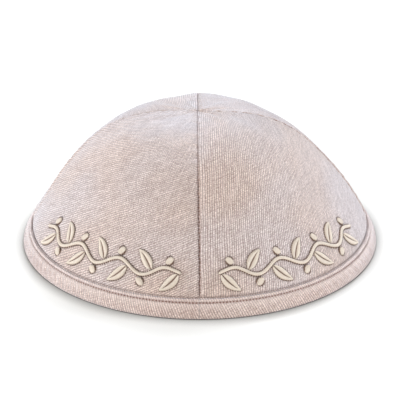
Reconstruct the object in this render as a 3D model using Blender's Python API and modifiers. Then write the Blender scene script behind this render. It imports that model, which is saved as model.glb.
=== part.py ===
"""Four-panel kippah with a bound rim and a satin-stitched vine on each of its two front panels.

Metres, +Z up. The kippah stands on its rim, with the origin on the table under the crown and the front seam
at -Y. An azimuth is measured from the front seam towards +X. A height up the wall is measured from the table
along a seam, on the outline of the dome.
"""

import math

import bmesh
import bpy
import numpy as np

# The whole
RIM_RADIUS = 0.0900  # widest part of the bound rim
CROWN_HEIGHT = 0.0668  # table to the outside of the crown
RIM_SLOPE = math.radians(63.0)  # the wall at the rim, above the table
SEAM_CREASE = math.radians(8.6)  # turn of each panel away from its seams
CROWN_LEAN = -0.0011  # how far the crown sits to the right of the rim's middle

# Shape of a seam, as shares of the crown height and of the foot radius
WALL_PULL = 1.025
CROWN_PULL = 0.364
FULL_CREASE_AT = 0.42  # share of the height above the binding

# Cloth
PANEL_WALL = 0.0015
BINDING_CLOTH = 0.0010
BINDING_WIDTH = 0.0105
BINDING_INSIDE_WIDTH = 0.0100
BINDING_EDGE_ROUND = 0.0004
FOLD_RADIUS = 0.0007
STITCH_LINE_INSET = 0.0021
STITCH_LINE_DEPTH = 0.0003
STITCH_LINE_REACH = 0.0008  # middle of the stitch line to either edge of its dip
CLEARANCE = 0.0003
SWELL = 0.0085  # up the wall from the binding to where the panels reach the outline

# Seams
SEAM_GAP = 0.0003
SEAM_ROLL = 0.0016
SEAM_SINK = 0.0005

# Embroidery, in satin stitch over padding
ORNAMENT_MARGIN = 0.0013  # binding to the lowest leaf or berry
ORNAMENT_START = math.radians(6.0)
ORNAMENT_END = math.radians(68.0)
MOTIFS = 7  # half waves of each stem, with a leaf in the hollow and a berry on the crest
WAVE_HEIGHT = 0.0024  # middle of the vine to a crest
STEM_WIDTH = 0.0018
LEAF_LENGTH = 0.0112
LEAF_WIDTH = 0.0050
LEAF_TILT = math.radians(44.0)
LEAF_BEND = math.radians(26.0)
LEAF_AT = 0.10  # share of the half wave
BERRY_WIDTH = 0.0040
THREAD_HEIGHT = 0.0006

# Facets
LOWER_WALL = 0.0385  # height up the wall below which a panel's rows lie closer
LOWER_ROWS = 6
UPPER_ROWS = 9
PANEL_COLUMNS = 17
BINDING_STEPS = 64
ROUNDING_STEPS = 3
STEM_STATIONS = 5  # for each half wave
LEAF_STATIONS = 7
BERRY_STATIONS = 5
MERGE_DISTANCE = 1e-6

QUARTER = math.pi / 2
PANELS = (
    ("panel_front_right", 0.5 * QUARTER),
    ("panel_back_right", 1.5 * QUARTER),
    ("panel_back_left", 2.5 * QUARTER),
    ("panel_front_left", 3.5 * QUARTER),
)
SIDES = (("right", 1.0), ("left", -1.0))

LINEN = {"name": "linen", "colour": (0.66, 0.55, 0.50), "roughness": 0.85}
BINDING_LINEN = {"name": "binding_linen", "colour": (0.60, 0.48, 0.43), "roughness": 0.85}
THREAD = {"name": "embroidery_thread", "colour": (0.80, 0.70, 0.57), "roughness": 0.45}

# Where the line of the wall meets the table, outside the rounded fold
FOOT_RADIUS = RIM_RADIUS + FOLD_RADIUS / math.tan(RIM_SLOPE / 2) - FOLD_RADIUS
SEAM_CONTROLS = np.array(
    (
        (FOOT_RADIUS, 0.0),
        (FOOT_RADIUS - WALL_PULL * CROWN_HEIGHT / math.tan(RIM_SLOPE), WALL_PULL * CROWN_HEIGHT),
        (CROWN_PULL * FOOT_RADIUS, CROWN_HEIGHT),
        (0.0, CROWN_HEIGHT),
    )
)


def smooth_step(share):
    share = np.clip(share, 0.0, 1.0)
    return share * share * (3.0 - 2.0 * share)


def seam_curve(share, depth=0.0):
    """Reach from the axis and rise from the table of a cubic curve, moved inwards by depth along its normal."""
    t = np.asarray(share, float)[..., None]
    a, b, c, d = SEAM_CONTROLS
    point = (1 - t) ** 3 * a + 3 * (1 - t) ** 2 * t * b + 3 * (1 - t) * t**2 * c + t**3 * d
    along = (1 - t) ** 2 * (b - a) + 2 * (1 - t) * t * (c - b) + t**2 * (d - c)
    along = along / np.linalg.norm(along, axis=-1, keepdims=True)
    reach = point[..., 0] - depth * along[..., 1]
    rise = point[..., 1] + depth * along[..., 0]
    return reach, rise


SHARES = np.linspace(0.0, 1.0, 801)
SEAM_REACH, SEAM_RISE = seam_curve(SHARES)
SEAM_STEPS = np.hypot(np.diff(SEAM_REACH), np.diff(SEAM_RISE))
SEAM_LENGTHS = np.concatenate(((0.0,), np.cumsum(SEAM_STEPS)))
BINDING_TOP = float(np.interp(BINDING_WIDTH, SEAM_LENGTHS, SEAM_RISE))


def share_at(height_up_wall):
    return np.interp(height_up_wall, SEAM_LENGTHS, SHARES)


def swell_at(share):
    """From 0 under the binding, where the panels are pressed flat, to 1 where they have their full form."""
    height = np.interp(share, SHARES, SEAM_LENGTHS)
    return smooth_step((height - BINDING_WIDTH) / SWELL)


def panel_depth(share):
    """How far the panels lie within the outline."""
    return (BINDING_CLOTH + CLEARANCE) * (1.0 - swell_at(share))


def place(azimuth, reach, rise):
    """Points of the dome: round at the binding, then four flatter arcs that meet in a crease at each seam."""
    above = np.clip((rise - BINDING_TOP) / (CROWN_HEIGHT - BINDING_TOP), 0.0, 1.0)
    half_turn = QUARTER / 2 - SEAM_CREASE * smooth_step(above / FULL_CREASE_AT)
    arc_radius = math.sin(QUARTER / 2) / np.sin(half_turn)
    arc_offset = arc_radius * np.cos(half_turn) - math.cos(QUARTER / 2)
    from_middle = np.mod(azimuth, QUARTER) - QUARTER / 2
    across = arc_offset * np.sin(from_middle)
    arc = np.sqrt(arc_radius**2 - across**2) - arc_offset * np.cos(from_middle)
    x = reach * arc * np.sin(azimuth) + CROWN_LEAN * above**1.5
    y = -reach * arc * np.cos(azimuth)
    return np.stack(np.broadcast_arrays(x, y, rise), axis=-1)


def clear_scene():
    for obj in list(bpy.data.objects):
        bpy.data.objects.remove(obj, do_unlink=True)


def new_collection(name):
    collection = bpy.data.collections.new(name)
    bpy.context.scene.collection.children.link(collection)
    return collection


def new_material(look):
    material = bpy.data.materials.new(look["name"])
    material.use_nodes = True
    shader = material.node_tree.nodes["Principled BSDF"]
    shader.inputs["Base Color"].default_value = (*look["colour"], 1.0)
    shader.inputs["Roughness"].default_value = look["roughness"]
    shader.inputs["Metallic"].default_value = 0.0
    return material


def new_object(name, points, edges, faces, collection, material):
    """Mesh object, shaded smooth, with the points that coincide merged."""
    mesh = bpy.data.meshes.new(name)
    mesh.from_pydata([tuple(point) for point in points], edges, faces)
    shape = bmesh.new()
    shape.from_mesh(mesh)
    bmesh.ops.remove_doubles(shape, verts=shape.verts, dist=MERGE_DISTANCE)
    shape.to_mesh(mesh)
    shape.free()
    mesh.shade_smooth()
    mesh.materials.append(material)
    obj = bpy.data.objects.new(name, mesh)
    collection.objects.link(obj)
    return obj


def face_outwards(obj):
    shape = bmesh.new()
    shape.from_mesh(obj.data)
    bmesh.ops.recalc_face_normals(shape, faces=shape.faces)
    shape.to_mesh(obj.data)
    shape.free()


def loft_faces(rows, columns):
    """Quads between neighbouring rows of a grid of points, numbered row by row."""
    at = np.arange(rows * columns).reshape(rows, columns)
    quads = np.stack((at[:-1, :-1], at[:-1, 1:], at[1:, 1:], at[1:, :-1]), axis=-1)
    return quads.reshape(-1, 4).tolist()


def panel_rows():
    """Rows of a panel, from its raw edge in the fold to its point at the crown.

    Each has its reach, its rise and how far its sides sink at the seams.
    """
    raw_edge = BINDING_CLOTH + CLEARANCE + PANEL_WALL * math.cos(RIM_SLOPE)
    tip = SEAM_GAP / 2 / math.sin(QUARTER / 2)
    reach, rise = seam_curve(SHARES, panel_depth(SHARES))
    first = np.interp(raw_edge, rise, SHARES)
    last = np.interp(tip, reach[::-1], SHARES[::-1])
    heights = (BINDING_WIDTH / 2, BINDING_WIDTH, BINDING_WIDTH + SWELL / 2)
    lower = np.linspace(share_at(BINDING_WIDTH + SWELL), share_at(LOWER_WALL), LOWER_ROWS)
    upper = np.linspace(share_at(LOWER_WALL), last, UPPER_ROWS + 1)[1:]
    shares = np.concatenate(((first,), share_at(heights), lower, upper))
    reach, rise = seam_curve(shares, panel_depth(shares))
    reach[-1] = tip
    return reach, rise, SEAM_SINK * swell_at(shares)


def panel_grid(middle):
    """Outer face of a panel. Its sides run parallel to the seams, and roll in to them."""
    reach, rise, sink = panel_rows()
    half = QUARTER / 2 - np.arcsin(np.clip(SEAM_GAP / 2 / reach, 0.0, math.sin(QUARTER / 2)))
    roll = np.minimum(SEAM_ROLL / reach, half / 5)
    flat = np.linspace(-1.0, 1.0, PANEL_COLUMNS)[None, :] * (half - roll)[:, None]
    shoulder = (half - roll * 0.6)[:, None]
    edge = half[:, None]
    offsets = np.concatenate((-edge, -shoulder, flat, shoulder, edge), axis=1)
    sunk = np.zeros_like(offsets)
    sunk[:, (0, -1)] = sink[:, None]
    sunk[:, (1, -2)] = sink[:, None] * 0.3
    ahead = np.gradient(np.stack((reach, rise)), axis=1)
    ahead = ahead / np.hypot(ahead[0], ahead[1])
    sunk_reach = reach[:, None] - sunk * ahead[1][:, None]
    sunk_rise = rise[:, None] + sunk * ahead[0][:, None]
    sunk_reach[-1] = reach[-1]
    sunk_rise[-1] = rise[-1] - sink[-1]
    return place(middle + offsets, sunk_reach, sunk_rise)


def make_panel(name, middle, collection, material):
    grid = panel_grid(middle)
    faces = loft_faces(*grid.shape[:2])
    panel = new_object(name, grid.reshape(-1, 3), [], faces, collection, material)
    wall = panel.modifiers.new("wall", "SOLIDIFY")
    wall.thickness = PANEL_WALL
    wall.offset = -1.0
    wall.use_even_offset = True


def wall_point(height_up_wall, depth):
    """Reach and rise at a height up the wall, moved inwards by depth."""
    reach, rise = seam_curve(share_at(height_up_wall), depth)
    return float(reach), float(rise)


def floor_point(depth, level):
    """Where the line of the wall, moved inwards by depth, meets a level above the table."""
    reach, rise = wall_point(0.0, depth)
    return reach - (level - rise) / math.tan(RIM_SLOPE), level


def rounded(corner, before, after, radius):
    """Arc of that radius in the corner between the directions to two neighbouring points."""
    corner, before, after = (np.array(point) for point in (corner, before, after))
    to_before = (before - corner) / np.linalg.norm(before - corner)
    to_after = (after - corner) / np.linalg.norm(after - corner)
    half = math.acos(float(to_before @ to_after)) / 2
    middle = (to_before + to_after) / np.linalg.norm(to_before + to_after)
    centre = corner + middle * radius / math.sin(half)
    start = corner + to_before * radius / math.tan(half) - centre
    end = corner + to_after * radius / math.tan(half) - centre
    arc = []
    for step in range(ROUNDING_STEPS + 1):
        spoke = start + (end - start) * step / ROUNDING_STEPS
        arc.append(tuple(centre + spoke / np.linalg.norm(spoke) * radius))
    return arc


def binding_profile():
    """Section of the folded strip: down its outer face, across the table, up inside and back round the panel."""
    pocket_out = BINDING_CLOTH
    pocket_in = pocket_out + CLEARANCE + PANEL_WALL + CLEARANCE
    inside = pocket_in + BINDING_CLOTH
    stitch = BINDING_WIDTH - STITCH_LINE_INSET
    top_out = wall_point(BINDING_WIDTH, 0.0)
    top_pocket_out = wall_point(BINDING_WIDTH, pocket_out)
    above_stitch = wall_point(stitch + STITCH_LINE_REACH, 0.0)
    below_stitch = wall_point(stitch - STITCH_LINE_REACH, 0.0)
    middle_out = wall_point(BINDING_WIDTH / 2, 0.0)
    foot_out = floor_point(0.0, 0.0)
    foot_in = floor_point(inside, 0.0)
    middle_in = wall_point(BINDING_INSIDE_WIDTH / 2, inside)
    top_in = wall_point(BINDING_INSIDE_WIDTH, inside)
    top_pocket_in = wall_point(BINDING_INSIDE_WIDTH, pocket_in)
    return [
        *rounded(top_out, top_pocket_out, above_stitch, BINDING_EDGE_ROUND),
        above_stitch,
        wall_point(stitch, STITCH_LINE_DEPTH),
        below_stitch,
        middle_out,
        *rounded(foot_out, middle_out, foot_in, FOLD_RADIUS),
        *rounded(foot_in, foot_out, middle_in, FOLD_RADIUS),
        middle_in,
        *rounded(top_in, middle_in, top_pocket_in, BINDING_EDGE_ROUND),
        top_pocket_in,
        wall_point(BINDING_INSIDE_WIDTH / 2, pocket_in),
        floor_point(pocket_in, BINDING_CLOTH),
        floor_point(pocket_out, BINDING_CLOTH),
        wall_point(BINDING_WIDTH / 2, pocket_out),
        top_pocket_out,
    ]


def make_binding(collection, material):
    points = [(reach, 0.0, rise) for reach, rise in binding_profile()]
    edges = [(i, (i + 1) % len(points)) for i in range(len(points))]
    ring = new_object("rim_binding", points, edges, [], collection, material)
    turn = ring.modifiers.new("turn", "SCREW")
    turn.axis = "Z"
    turn.angle = 2 * math.pi
    turn.steps = BINDING_STEPS
    turn.render_steps = BINDING_STEPS
    turn.use_merge_vertices = True
    turn.merge_threshold = MERGE_DISTANCE


LEAF_DROP = STEM_WIDTH / 2 + CLEARANCE + LEAF_LENGTH * math.sin(LEAF_TILT)
BERRY_DROP = WAVE_HEIGHT + STEM_WIDTH / 2 + CLEARANCE + BERRY_WIDTH
VINE_LINE = BINDING_WIDTH + ORNAMENT_MARGIN + max(LEAF_DROP, BERRY_DROP)
VINE_REACH = float(np.interp(VINE_LINE, SEAM_LENGTHS, SEAM_REACH))
VINE_LENGTH = (ORNAMENT_END - ORNAMENT_START) * VINE_REACH
HALF_WAVE = VINE_LENGTH / MOTIFS


def make_pad(name, side, line, half_widths, collection, material):
    """Stitched field along a line of (distance along the vine, height above the vine's middle).

    Each station is a ring of six points that follows the wall beneath and is domed above. The ends are
    points, and the crest is lower where the field is narrower than the stem.
    """
    ahead = np.gradient(line, axis=0)
    ahead = ahead / np.linalg.norm(ahead, axis=1, keepdims=True)
    across = np.stack((-ahead[:, 1], ahead[:, 0]), axis=1)
    ring_across = np.array((-1.0, -0.6, 0.0, 0.6, 1.0, 0.0, -1.0))
    ring_height = np.array((0.0, 0.75, 1.0, 0.75, 0.0, 0.0, 0.0))
    spots = line[:, None, :] + across[:, None, :] * (half_widths[:, None] * ring_across)[..., None]
    crest = np.clip(half_widths / (STEM_WIDTH / 2), 0.0, 1.0)
    height = CLEARANCE + THREAD_HEIGHT * crest[:, None] * ring_height
    shares = share_at(VINE_LINE + spots[..., 1])
    reach, rise = seam_curve(shares, panel_depth(shares) - height)
    azimuth = side * (ORNAMENT_START + spots[..., 0] / VINE_REACH)
    points = place(azimuth, reach, rise)
    faces = loft_faces(*points.shape[:2])
    pad = new_object(name, points.reshape(-1, 3), [], faces, collection, material)
    face_outwards(pad)


def vine_height(distance):
    """The stem swings up and down, one half wave for each motif, and less so at its two ends."""
    swing = np.sin(math.pi * distance / HALF_WAVE)
    ends = smooth_step(distance / HALF_WAVE) * smooth_step((VINE_LENGTH - distance) / HALF_WAVE)
    return WAVE_HEIGHT * swing * (1.0 + ends) / 2


def beside_stem(distance, upwards, off_middle):
    """Point that far from the middle of the stem, square to it, above or below."""
    step = HALF_WAVE / 1000
    slope = float(vine_height(distance + step) - vine_height(distance - step)) / (2 * step)
    square = upwards * np.array((-slope, 1.0)) / math.hypot(slope, 1.0)
    return np.array((distance, float(vine_height(distance)))) + square * off_middle


def make_stem(side_name, side, collection, material):
    distance = np.linspace(0.0, VINE_LENGTH, MOTIFS * STEM_STATIONS + 1)
    line = np.stack((distance, vine_height(distance)), axis=1)
    half_widths = np.full(len(distance), STEM_WIDTH / 2)
    half_widths[0] = half_widths[-1] = 0.0
    make_pad(f"vine_stem_{side_name}", side, line, half_widths, collection, material)


def make_leaf(number, side_name, side, collection, material):
    """Leaf in the hollow of a half wave, below a crest or above a trough.

    Its midrib leaves the stem steeply and bends the way the vine runs. It is broadest before its middle.
    """
    upwards = -1.0 if number % 2 == 0 else 1.0
    base = beside_stem((number + LEAF_AT) * HALF_WAVE, upwards, STEM_WIDTH / 2 + CLEARANCE)
    share = np.linspace(0.0, 1.0, LEAF_STATIONS)
    angle = LEAF_TILT + LEAF_BEND * (0.5 - share[:-1])
    step = np.stack((np.cos(angle), upwards * np.sin(angle)), axis=1) * LEAF_LENGTH / len(angle)
    line = base + np.concatenate((np.zeros((1, 2)), np.cumsum(step, axis=0)))
    half_widths = LEAF_WIDTH / 2 * np.sin(math.pi * share**0.8).clip(0.0) ** 0.85
    half_widths[-1] = 0.0
    make_pad(f"vine_leaf_{side_name}_{number + 1}", side, line, half_widths, collection, material)


def make_berry(number, side_name, side, collection, material):
    """Round berry on the outside of a crest or a trough."""
    upwards = 1.0 if number % 2 == 0 else -1.0
    off_middle = STEM_WIDTH / 2 + CLEARANCE + BERRY_WIDTH / 2
    middle = beside_stem((number + 0.5) * HALF_WAVE, upwards, off_middle)
    turn = np.linspace(-math.pi / 2, math.pi / 2, BERRY_STATIONS)
    line = middle + np.stack((np.sin(turn), np.zeros_like(turn)), axis=1) * BERRY_WIDTH / 2
    half_widths = BERRY_WIDTH / 2 * np.cos(turn)
    make_pad(f"vine_berry_{side_name}_{number + 1}", side, line, half_widths, collection, material)


def main():
    clear_scene()
    kippah = new_collection("kippah")
    linen = new_material(LINEN)
    binding_linen = new_material(BINDING_LINEN)
    thread = new_material(THREAD)
    for name, middle in PANELS:
        make_panel(name, middle, kippah, linen)
    make_binding(kippah, binding_linen)
    for side_name, side in SIDES:
        make_stem(side_name, side, kippah, thread)
        for number in range(MOTIFS):
            make_leaf(number, side_name, side, kippah, thread)
            make_berry(number, side_name, side, kippah, thread)


main()
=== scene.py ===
"""Looks of the embroidered kippah: ribbed linen panels, bound rim, seams and a satin-stitched vine.

Metres, +Z up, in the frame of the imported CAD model. An azimuth is measured from the front seam at -Y towards
+X. A height is measured up the wall, along a seam, from the table. A lift is measured outwards from the
cloth's outer face.
"""

import math

import bpy
import numpy as np
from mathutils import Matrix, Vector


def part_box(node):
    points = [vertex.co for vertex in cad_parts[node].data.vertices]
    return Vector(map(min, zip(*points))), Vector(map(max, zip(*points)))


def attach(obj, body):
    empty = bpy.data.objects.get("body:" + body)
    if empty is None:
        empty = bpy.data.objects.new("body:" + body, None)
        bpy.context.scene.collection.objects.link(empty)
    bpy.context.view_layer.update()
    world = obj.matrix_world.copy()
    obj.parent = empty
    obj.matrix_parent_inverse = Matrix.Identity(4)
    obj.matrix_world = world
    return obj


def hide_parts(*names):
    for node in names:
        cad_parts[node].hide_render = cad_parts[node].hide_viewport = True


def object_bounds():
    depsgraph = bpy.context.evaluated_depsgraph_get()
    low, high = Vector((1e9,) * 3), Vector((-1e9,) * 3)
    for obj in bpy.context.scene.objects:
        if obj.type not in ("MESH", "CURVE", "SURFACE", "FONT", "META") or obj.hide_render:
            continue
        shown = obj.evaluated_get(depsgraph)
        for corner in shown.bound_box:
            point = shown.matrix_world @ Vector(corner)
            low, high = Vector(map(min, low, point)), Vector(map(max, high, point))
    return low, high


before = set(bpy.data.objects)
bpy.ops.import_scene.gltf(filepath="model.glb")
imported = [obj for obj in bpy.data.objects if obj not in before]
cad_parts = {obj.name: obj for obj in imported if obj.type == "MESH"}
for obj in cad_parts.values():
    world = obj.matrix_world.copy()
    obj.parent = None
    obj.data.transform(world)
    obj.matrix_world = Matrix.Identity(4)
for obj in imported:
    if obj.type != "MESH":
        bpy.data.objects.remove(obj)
cad_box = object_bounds()
BODY = "root"

# The whole, as in the CAD model
RIM_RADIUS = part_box("rim_binding")[1].x
CROWN_HEIGHT = cad_box[1].z
RIM_SLOPE = math.radians(63.0)
SEAM_CREASE = math.radians(8.6)
CROWN_LEAN = -0.0011
WALL_PULL = 1.025
CROWN_PULL = 0.364
FULL_CREASE_AT = 0.42

# Cloth, as in the CAD model
PANEL_WALL = 0.0015
BINDING_CLOTH = 0.0010
BINDING_WIDTH = 0.0105
BINDING_INSIDE_WIDTH = 0.0100
BINDING_EDGE_ROUND = 0.0004
FOLD_RADIUS = 0.0007
STITCH_LINE_INSET = 0.0023
CLEARANCE = 0.0003
BINDING_EDGE = 0.0101  # height of the folded edge, drawn down a little by its stitching
PRESSED_DEPTH = 0.00108  # outline to the panels' outer face inside the binding
SWELL = 0.0034  # up the wall from the binding to where the panels reach the outline

# Panels
RAW_EDGE_HEIGHT = 0.0026  # where the cut edge lies inside the binding
SEAM_GAP = 0.00016
SEAM_ROLL = 0.0010  # width of cloth that turns down into a seam
SEAM_DITCH = 0.00080
TIP_REACH = 0.00028  # axis to the ends of the panels at the crown
ALLOWANCE_WIDTH = 0.0050  # seam allowance, turned to one side beneath the cloth
ALLOWANCE_LIFT = 0.00042
ROLLED_WIDTH = 0.0016  # fullest part of the cloth that rolls over the allowance
ALLOWANCE_CLOTH = 0.0006
PUCKER_LENGTH = 0.0068
PUCKER_LIFT = 0.00013
SWAY = 0.00010  # sideways shift of the seams
SWAY_REACH = 0.0013
SEAM_STITCH = 0.0017
CALM_FROM = 0.050  # height from which the seams flatten towards the crown
CALM_OVER = 0.040
EDGE_STEPS = np.array((0.0, 0.10, 0.22, 0.38, 0.6, 0.9, 1.4, 2.2)) / 1000  # from a seam, across the cloth
FRONT_GRID = (122, 250)  # rows above the binding, and columns between the edge steps
BACK_GRID = (96, 150)

# Slow waves in the cloth: lift, waves round the rim, waves up the wall, start of the wave
EASE_WAVES = np.array(
    (
        (0.00022, 3.0, 1.3, 0.4),
        (0.00016, 5.0, -2.1, 2.2),
        (0.00011, 9.0, 1.7, 4.1),
        (0.00007, 16.0, -3.2, 1.0),
    )
)

# Rim binding
STITCHES = 354  # round the rim
STITCH_COLUMNS = 3  # columns of the binding for each stitch
GROOVE_DEPTH = 0.00052
GROOVE_REACH = 0.00058
RIDGE_LIFT = 0.00038
BAND_LIFT = 0.00052
RIPPLE_LIFT = 0.00009
PIT_DEPTH = 0.00022
EDGE_TAPER = 0.00066  # how far the upper edge is drawn down towards the panel
TOP_THREAD = 0.00020  # radius of the thread
THREAD_SHARE = 0.50  # of a stitch, where the thread shows

# Embroidery, as in the CAD model
ORNAMENT_MARGIN = 0.0013
ORNAMENT_REACH = 0.022  # no point of it or its needle holes is further from the vine's middle
ORNAMENT_START = math.radians(6.0)
ORNAMENT_END = math.radians(68.0)
MOTIFS = 7
WAVE_HEIGHT = 0.0024
STEM_WIDTH = 0.0018
LEAF_LENGTH = 0.0112
LEAF_WIDTH = 0.0050
LEAF_TILT = math.radians(44.0)
LEAF_BEND = math.radians(26.0)
LEAF_AT = 0.10
BERRY_WIDTH = 0.0040

# Satin stitches
TUBE_SIDES = 5  # of every thread
SATIN_RADIUS = 0.00021
SATIN_PITCH = 0.00030
SATIN_CREST = 0.00088  # cloth to the top of the threads
SATIN_DIP = 0.00025  # how far the ends go into the cloth
LEAF_SLANT = 0.17  # share of the leaf's length by which a thread runs forward
HOLE_OUT = 0.00052  # edge of the threads to the outer and inner edges of the needle holes
HOLE_IN = 0.00002
PULLED_IN = 0.00020
PULLED_REACH = 0.0011

# Linear colours
LINEN_DARK = (0.500, 0.390, 0.345)
LINEN_LIGHT = (0.960, 0.840, 0.765)
BINDING_DARK = (0.540, 0.405, 0.360)
BINDING_LIGHT = (0.970, 0.830, 0.755)
# painted shade between the ribs and knots of the cloth
GROOVE_SHADE = (0.270, 0.185, 0.155)
# painted shade in the seams and stitch pits, and at the ends of the sewing thread
SEAM_SHADE_BROWN = (0.205, 0.084, 0.050)
THREAD_CREAM = (0.790, 0.680, 0.565)
THREAD_SHADE = (0.270, 0.170, 0.120)
# painted shade of the needle holes, on the padding beneath the satin
NEEDLE_HOLE_SHADE = (0.170, 0.100, 0.070)

# Studio
WHITE = (1.0, 1.0, 1.0)
COOL_WHITE = (0.84, 0.91, 1.0)
WORLD_TONE = (0.96, 0.98, 1.0)
WORLD_LIGHT = 0.42
WORLD_SEEN = 1.1  # what the camera sees of it, so that no horizon shows
LIGHTS_AIM = (0.0, 0.0, 0.03)
LIGHTS = (  # name, place, size, power and colour
    ("key", (-0.82, -2.10, 1.13), 1.1, 28.0, WHITE),
    ("left_wing", (-2.2, 0.11, 0.66), 0.79, 33.0, COOL_WHITE),
    ("right_wing", (2.2, 0.11, 0.66), 0.79, 37.0, COOL_WHITE),
    ("back", (0.40, 1.92, 1.83), 1.0, 52.0, COOL_WHITE),
)
FLOOR_HALF = 8.0
FLOOR_WHITE = (0.93, 0.90, 0.85)
# painted contact shadow on the floor: how far it reaches and how fast it fades
CONTACT_REACH = 0.007  # how far from the rim the floor darkens
CONTACT_POWER = 1.4
FLOOR_FADE = (0.35, 1.6)  # distance at which the floor starts and ends to fade to white
FLOOR_GLOW = 0.8
CAMERA_LENS = 114.95
CAMERA_SENSOR = 36.0
CAMERA_ELEVATION = math.radians(24.517)
CAMERA_DISTANCE = 0.650
CAMERA_AIM = (0.000065, 0.0, 0.018355)

QUARTER = math.pi / 2
PANELS = (
    ("panel_front_right", 0.5 * QUARTER, FRONT_GRID, 0.0),
    ("panel_back_right", 1.5 * QUARTER, BACK_GRID, 0.0),
    ("panel_back_left", 2.5 * QUARTER, BACK_GRID, 0.0),
    ("panel_front_left", 3.5 * QUARTER, FRONT_GRID, math.radians(32.0)),
)
SEAMS = (("front", 0.0), ("right", QUARTER), ("back", 2 * QUARTER), ("left", 3 * QUARTER))
SIDES = (("right", 1.0), ("left", -1.0))

draw = np.random.default_rng(14)

FOOT_RADIUS = RIM_RADIUS + FOLD_RADIUS / math.tan(RIM_SLOPE / 2) - FOLD_RADIUS
SEAM_CONTROLS = np.array(
    (
        (FOOT_RADIUS, 0.0),
        (FOOT_RADIUS - WALL_PULL * CROWN_HEIGHT / math.tan(RIM_SLOPE), WALL_PULL * CROWN_HEIGHT),
        (CROWN_PULL * FOOT_RADIUS, CROWN_HEIGHT),
        (0.0, CROWN_HEIGHT),
    )
)


def smooth_step(share):
    share = np.clip(share, 0.0, 1.0)
    return share * share * (3.0 - 2.0 * share)


def seam_curve(share, depth=0.0):
    """Reach and rise of a cubic curve from the foot to the crown, moved inwards by depth along its normal."""
    t = np.asarray(share, float)[..., None]
    a, b, c, d = SEAM_CONTROLS
    point = (1 - t) ** 3 * a + 3 * (1 - t) ** 2 * t * b + 3 * (1 - t) * t**2 * c + t**3 * d
    along = (1 - t) ** 2 * (b - a) + 2 * (1 - t) * t * (c - b) + t**2 * (d - c)
    along = along / np.linalg.norm(along, axis=-1, keepdims=True)
    reach = point[..., 0] - depth * along[..., 1]
    rise = point[..., 1] + depth * along[..., 0]
    return reach, rise


SHARES = np.linspace(0.0, 1.0, 801)
SEAM_REACH, SEAM_RISE = seam_curve(SHARES)
SEAM_STEPS = np.hypot(np.diff(SEAM_REACH), np.diff(SEAM_RISE))
SEAM_LENGTHS = np.concatenate(((0.0,), np.cumsum(SEAM_STEPS)))
BINDING_TOP = float(np.interp(BINDING_WIDTH, SEAM_LENGTHS, SEAM_RISE))
TIP_HEIGHT = float(np.interp(TIP_REACH, SEAM_REACH[::-1], SEAM_LENGTHS[::-1]))


def share_at(height):
    return np.interp(height, SEAM_LENGTHS, SHARES)


def reach_at(height):
    return np.interp(height, SEAM_LENGTHS, SEAM_REACH)


def swell_at(height):
    """From 0 under the binding, where the panels are pressed flat, to 1 where they have their full form.

    It rises quickly at first: one less a power of the way that is left.
    """
    left = np.clip(1.0 - (height - BINDING_EDGE) / SWELL, 0.0, 1.0)
    return 1.0 - left**2.5


def place(azimuth, reach, rise):
    """Points of the dome: round at the binding, then four flatter arcs that meet in a crease at each seam."""
    above = np.clip((rise - BINDING_TOP) / (CROWN_HEIGHT - BINDING_TOP), 0.0, 1.0)
    half_turn = QUARTER / 2 - SEAM_CREASE * smooth_step(above / FULL_CREASE_AT)
    arc_radius = math.sin(QUARTER / 2) / np.sin(half_turn)
    arc_offset = arc_radius * np.cos(half_turn) - math.cos(QUARTER / 2)
    from_middle = np.mod(azimuth, QUARTER) - QUARTER / 2
    across = arc_offset * np.sin(from_middle)
    arc = np.sqrt(arc_radius**2 - across**2) - arc_offset * np.cos(from_middle)
    x = reach * arc * np.sin(azimuth) + CROWN_LEAN * above**1.5
    y = -reach * arc * np.cos(azimuth)
    return np.stack(np.broadcast_arrays(x, y, rise), axis=-1)


def ease(azimuth, height):
    """Lift of the slow waves in the cloth: a sum of sines round the rim and up the wall, none at the rim."""
    lift = 0.0
    for size, round_rim, up_wall, start in EASE_WAVES:
        up = up_wall * 2 * math.pi * height / SEAM_LENGTHS[-1]
        lift = lift + size * np.sin(round_rim * azimuth + up + start)
    return lift * swell_at(height)


def surface(azimuth, height, lift=0.0):
    """Point at that lift from the cloth's outer face, which the binding presses in near the rim."""
    pressed = PRESSED_DEPTH * (1.0 - swell_at(height))
    reach, rise = seam_curve(share_at(height), pressed - ease(azimuth, height) - lift)
    return place(azimuth, reach, rise)


def strip_faces(rows, columns, wrap_rows=False):
    """Quads of a tube: rows of points, each a closed loop of columns, and a wrapped tube is a ring."""
    at = np.arange(rows * columns).reshape(rows, columns)
    at = np.concatenate((at, at[:, :1]), axis=1)
    if wrap_rows:
        at = np.concatenate((at, at[:1]), axis=0)
    quads = np.stack((at[:-1, :-1], at[:-1, 1:], at[1:, 1:], at[1:, :-1]), axis=-1)
    return quads.reshape(-1, 4)


def end_faces(rows, columns):
    """Quads that close the two ends of such a tube, where a loop runs out on one face and back on the other."""
    out = np.arange(columns // 2 - 1)
    back = columns - 1 - out
    first = np.stack((out, back, back - 1, out + 1), axis=-1)
    last = np.stack((out, out + 1, back - 1, back), axis=-1) + (rows - 1) * columns
    return np.concatenate((first, last))


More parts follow.
